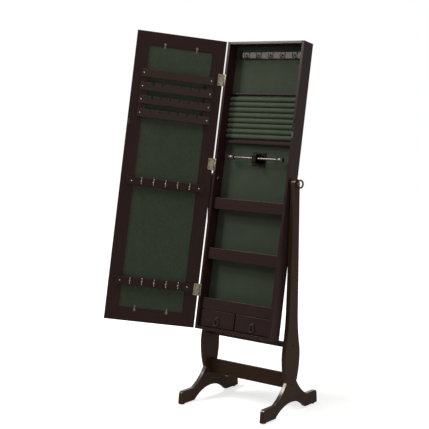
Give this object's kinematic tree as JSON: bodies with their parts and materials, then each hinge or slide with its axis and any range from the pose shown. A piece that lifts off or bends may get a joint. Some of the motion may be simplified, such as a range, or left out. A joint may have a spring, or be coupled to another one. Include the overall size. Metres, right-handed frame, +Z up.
{
  "type": "jewellery cheval mirror",
  "caption": "Free-standing tilting mirror on a trestle stand whose mirror door opens on a shallow felt-lined jewellery cabinet.",
  "frame": {"origin": "on the floor, under the middle of the overall box in the pictured pose", "axes": "+Z up, +Y to the back of the stand, +X to its right as seen from the front"},
  "size_m": [0.7078, 0.5774, 1.5211],
  "materials": {
    "espresso_wood": "espresso lacquer, satin",
    "drawer_board": "dark stained board, matt",
    "green_felt": "felt, matt",
    "ring_velvet": "velvet",
    "mirror_glass": "silvered glass",
    "antique_brass": "antique, satin",
    "bright_steel": "nickel plated",
    "dark_steel": "dark bronze, satin",
    "knob_metal": "antique, satin",
    "glide_plastic": "matt"
  },
  "bodies": {
    "stand": {"left_upright": "espresso_wood", "right_upright": "espresso_wood", "left_foot": "espresso_wood", "right_foot": "espresso_wood", "lower_stretcher": "espresso_wood", "upper_stretcher": "espresso_wood", "stretcher_bolts": "dark_steel", "foot_glides": "glide_plastic"},
    "cabinet": {"cabinet_left_side": "espresso_wood", "cabinet_right_side": "espresso_wood", "cabinet_top": "espresso_wood", "cabinet_bottom": "espresso_wood", "cabinet_back": "espresso_wood", "cabinet_felt": "green_felt", "pivot_bushings": "bright_steel", "upper_shelf": "espresso_wood", "upper_shelf_rail": "espresso_wood", "middle_shelf": "espresso_wood", "middle_shelf_rail": "espresso_wood", "lower_shelf": "espresso_wood", "lower_shelf_rail": "espresso_wood", "hook_rail": "espresso_wood", "rail_hooks": "bright_steel", "ring_tray": "espresso_wood", "ring_rolls": "ring_velvet", "bracelet_bracket": "espresso_wood", "bracelet_rod": "espresso_wood", "bracelet_knobs": "espresso_wood", "drawer_divider": "espresso_wood", "cabinet_hinge_leaves": "antique_brass", "hinge_pins": "antique_brass", "catch_plate": "bright_steel", "door_bumper": "glide_plastic"},
    "door": {"door_hinge_stile": "espresso_wood", "door_free_stile": "espresso_wood", "door_bottom_rail": "espresso_wood", "door_top_rail": "espresso_wood", "door_mirror": "mirror_glass", "door_backing": "drawer_board", "door_felt": "green_felt", "panel_clips": "dark_steel", "earring_cleats": "espresso_wood", "earring_top_strip": "espresso_wood", "earring_strips": "espresso_wood", "necklace_rails": "espresso_wood", "necklace_hooks": "bright_steel", "door_hinge_leaves": "antique_brass", "catch_magnet": "dark_steel"},
    "left_drawer": {"left_drawer_front": "espresso_wood", "left_drawer_box": "drawer_board", "left_pull_mount": "dark_steel"},
    "right_drawer": {"right_drawer_front": "espresso_wood", "right_drawer_box": "drawer_board", "right_pull_mount": "dark_steel"},
    "left_pull": {"left_teardrop_pull": "dark_steel"},
    "right_pull": {"right_teardrop_pull": "dark_steel"},
    "left_knob": {"left_tilt_knob": "knob_metal"},
    "right_knob": {"right_tilt_knob": "knob_metal"}
  },
  "joints": [
    {"name": "cabinet_tilt", "type": "hinge", "parent": "stand", "child": "cabinet", "pos_m": [0.11456, 0.08875, 0.922], "axis": [1, 0, 0], "range_deg": [-15.6, 7]},
    {"name": "door_swing", "type": "hinge", "parent": "cabinet", "child": "door", "pos_m": [-0.07194, 0.06014, 0.92672], "axis": [0, -0.1633, -0.9866], "range_deg": [-137.3, 1.5]},
    {"name": "left_drawer_slide", "type": "slide", "parent": "cabinet", "child": "left_drawer", "axis": [0, -0.9866, 0.1633], "range_m": [0, 0.024]},
    {"name": "right_drawer_slide", "type": "slide", "parent": "cabinet", "child": "right_drawer", "axis": [0, -0.9866, 0.1633], "range_m": [0, 0.024]},
    {"name": "left_pull_swing", "type": "hinge", "parent": "left_drawer", "child": "left_pull", "pos_m": [0.02731, -0.02589, 0.36117], "axis": [-1, 0, 0], "range_deg": [0, 95]},
    {"name": "right_pull_swing", "type": "hinge", "parent": "right_drawer", "child": "right_pull", "pos_m": [0.20181, -0.02589, 0.36117], "axis": [-1, 0, 0], "range_deg": [0, 95]},
    {"name": "left_knob_turn", "type": "hinge", "parent": "stand", "child": "left_knob", "pos_m": [0.11456, 0.08875, 0.922], "axis": [1, 0, 0], "continuous": true},
    {"name": "right_knob_turn", "type": "hinge", "parent": "stand", "child": "right_knob", "pos_m": [0.11456, 0.08875, 0.922], "axis": [1, 0, 0], "continuous": true}
  ]
}
